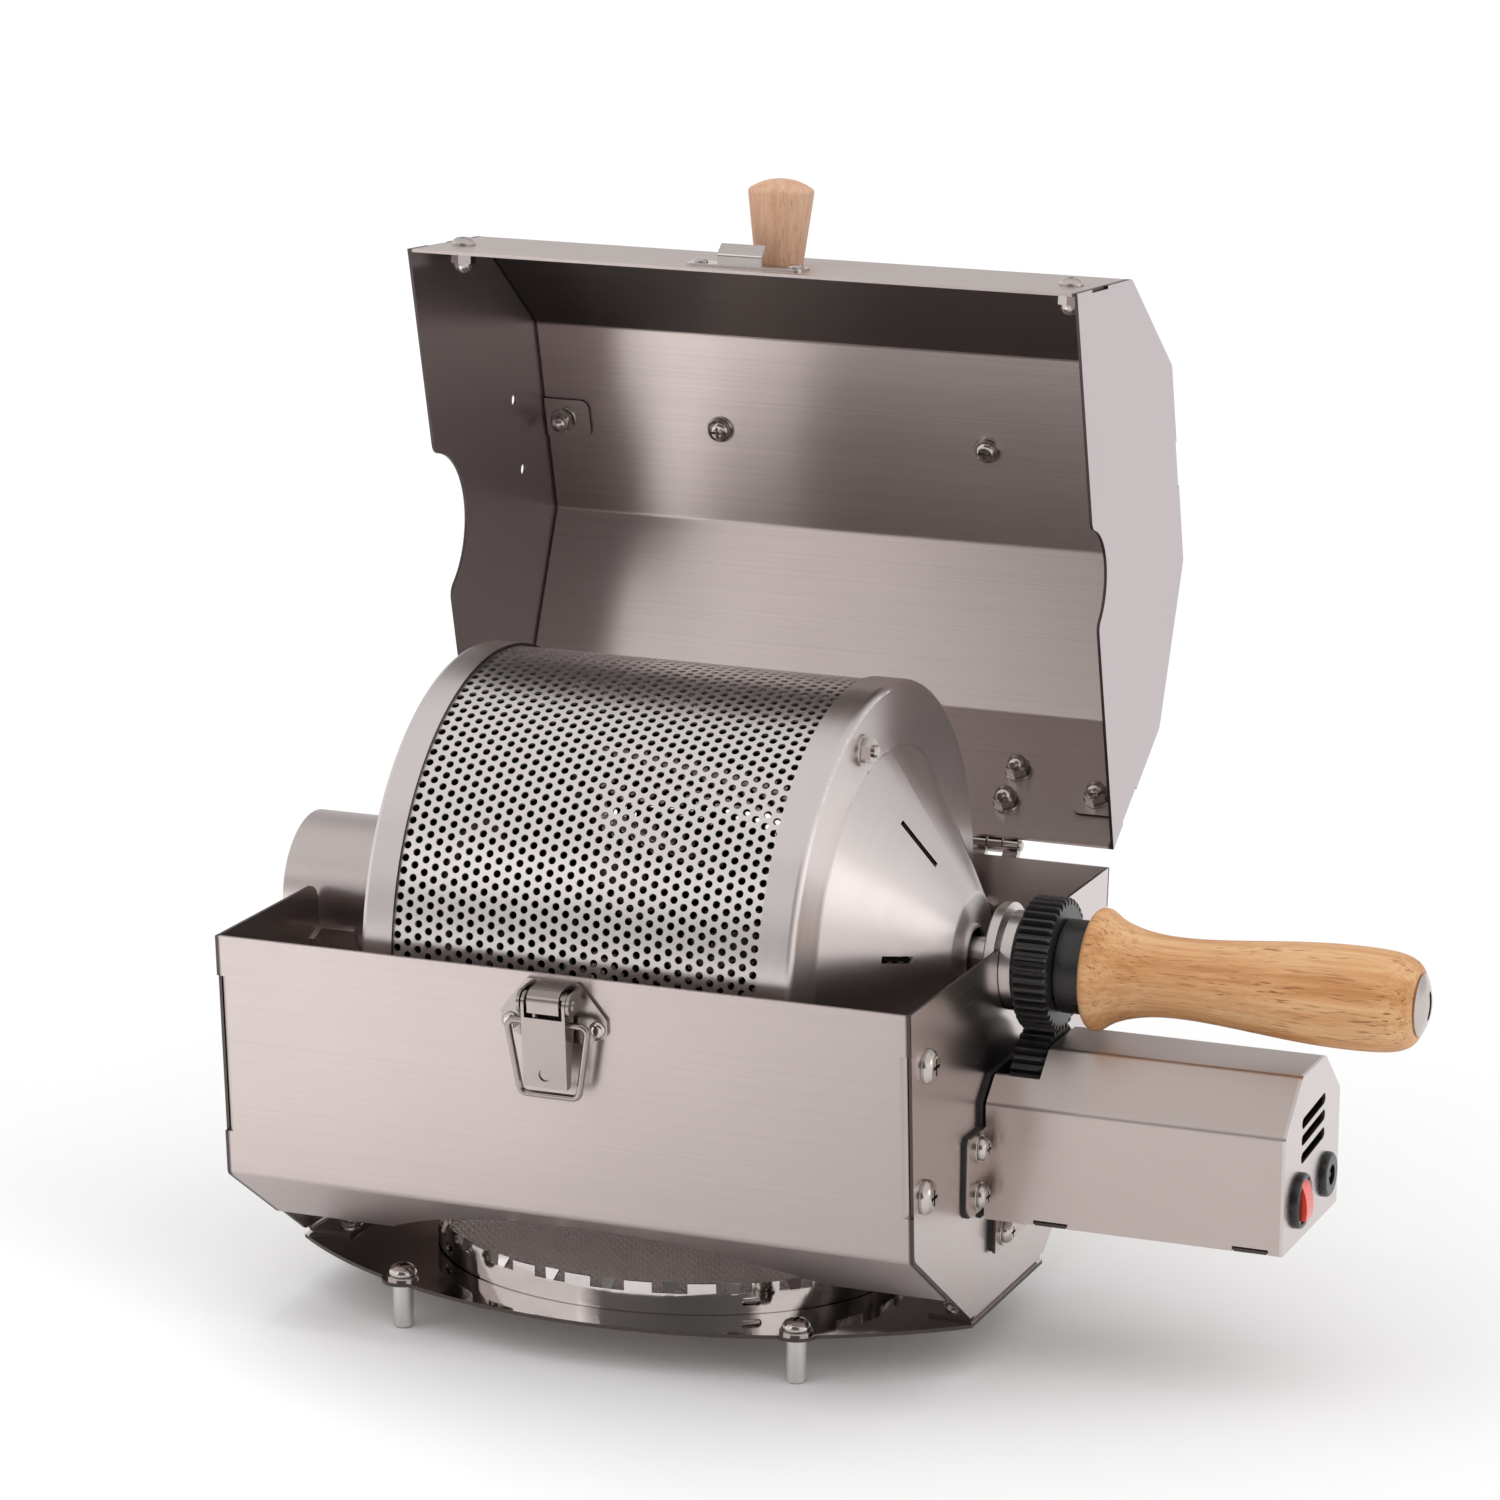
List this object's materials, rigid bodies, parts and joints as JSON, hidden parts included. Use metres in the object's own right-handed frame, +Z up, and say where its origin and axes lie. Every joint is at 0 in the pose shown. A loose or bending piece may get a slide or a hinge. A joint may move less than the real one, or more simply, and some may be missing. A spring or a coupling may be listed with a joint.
{
  "type": "coffee roaster",
  "caption": "Drum coffee roaster: folded steel housing with a hinged lid, a perforated drum turned by a geared motor, wooden handle and knob, and a mesh heat inlet on locating pegs.",
  "frame": {"origin": "centre of the rectangle of locating pegs, in the plane of their tips", "axes": "+X along the drum axis towards the wooden handle, +Y to the hinged rear, +Z up"},
  "size_m": [0.3723, 0.2714, 0.3515],
  "materials": {
    "brushed_steel_panel": "brushed stainless sheet",
    "drum_steel": "spun satin stainless",
    "perforated_steel": "perforated stainless sheet",
    "mesh_steel": "woven stainless wire",
    "polished_steel": "mirror polished",
    "hardware_steel": "bright plated",
    "latch_steel": "tumbled stainless",
    "black_nylon": "machined nylon",
    "black_plastic": "moulded",
    "red_plastic": "moulded, translucent",
    "black_rubber": "cut sheet",
    "motor_zinc": "zinc plated",
    "lead_insulation": "PVC insulation",
    "oak": "oiled",
    "beech": "bare"
  },
  "bodies": {
    "housing": {"front_panel": "brushed_steel_panel", "rear_panel": "brushed_steel_panel", "left_end_panel": "brushed_steel_panel", "right_end_panel": "brushed_steel_panel", "base_plate": "polished_steel", "burner_collar": "polished_steel", "burner_mesh": "mesh_steel", "base_pegs": "hardware_steel", "peg_screws": "hardware_steel", "panel_screws": "hardware_steel", "housing_nuts": "hardware_steel", "tube_saddle": "brushed_steel_panel", "housing_rivets": "hardware_steel", "shaft_bush": "hardware_steel", "latch_base": "latch_steel", "latch_pin": "latch_steel", "hinge_body_leaves": "hardware_steel", "hinge_pins": "hardware_steel", "hinge_body_screws": "hardware_steel", "motor_gasket": "black_rubber", "motor_cover": "brushed_steel_panel", "motor_bottom_plate": "brushed_steel_panel", "motor_end_plate": "brushed_steel_panel", "motor_bracket": "brushed_steel_panel", "gear_motor": "motor_zinc", "motor_box_screws": "hardware_steel", "motor_mount_screws": "hardware_steel", "switch_body": "black_plastic", "dc_jack": "black_plastic", "jack_nut": "black_plastic", "motor_leads": "lead_insulation"},
    "lid": {"lid_shell": "brushed_steel_panel", "lid_left_end": "brushed_steel_panel", "lid_right_end": "brushed_steel_panel", "lid_knob": "beech", "lid_catch": "hardware_steel", "catch_rivets": "hardware_steel", "lid_screws": "hardware_steel", "lid_nuts": "hardware_steel", "hinge_lid_leaves": "hardware_steel", "hinge_lid_screws": "hardware_steel", "lid_top_screws": "hardware_steel", "lid_top_nuts": "hardware_steel"},
    "drum": {"drum_sheet": "perforated_steel", "drum_left_cap": "drum_steel", "drum_tube": "drum_steel", "drum_cone": "drum_steel", "drum_vanes": "drum_steel", "drum_shaft": "hardware_steel", "drum_fasteners": "hardware_steel", "drive_gear": "black_nylon", "handle_hub": "black_nylon", "wood_handle": "oak", "handle_end_cap": "hardware_steel"},
    "pinion": {"motor_pinion": "black_nylon", "motor_shaft": "hardware_steel"},
    "rocker": {"switch_rocker": "red_plastic"},
    "latch_lever": {"latch_lever": "latch_steel"},
    "latch_bail": {"latch_bail": "latch_steel"}
  },
  "joints": [
    {"name": "lid_hinge", "type": "hinge", "parent": "housing", "child": "lid", "pos_m": [0, 0.1012, 0.1332], "axis": [1, 0, 0], "range_deg": [0, 75]},
    {"name": "drum_spin", "type": "hinge", "parent": "housing", "child": "drum", "pos_m": [0, 0, 0.1242], "axis": [1, 0, 0], "continuous": true},
    {"name": "pinion_spin", "type": "hinge", "parent": "housing", "child": "pinion", "pos_m": [0, 0, 0.0842], "axis": [1, 0, 0], "continuous": true},
    {"name": "switch_rock", "type": "hinge", "parent": "housing", "child": "rocker", "pos_m": [0.2108, -0.0135, 0.0625], "axis": [0, 1, 0], "range_deg": [0, 18]},
    {"name": "latch_lift", "type": "hinge", "parent": "housing", "child": "latch_lever", "pos_m": [0, -0.10043, 0.12381], "axis": [-1, 0, 0], "range_deg": [0, 85]},
    {"name": "bail_swing", "type": "hinge", "parent": "latch_lever", "child": "latch_bail", "pos_m": [0, -0.09989, 0.11733], "axis": [-1, 0, 0], "range_deg": [0, 92]}
  ],
  "couplings": [
    {"joint": "pinion_spin", "follows": "drum_spin", "ratio": -1}
  ]
}
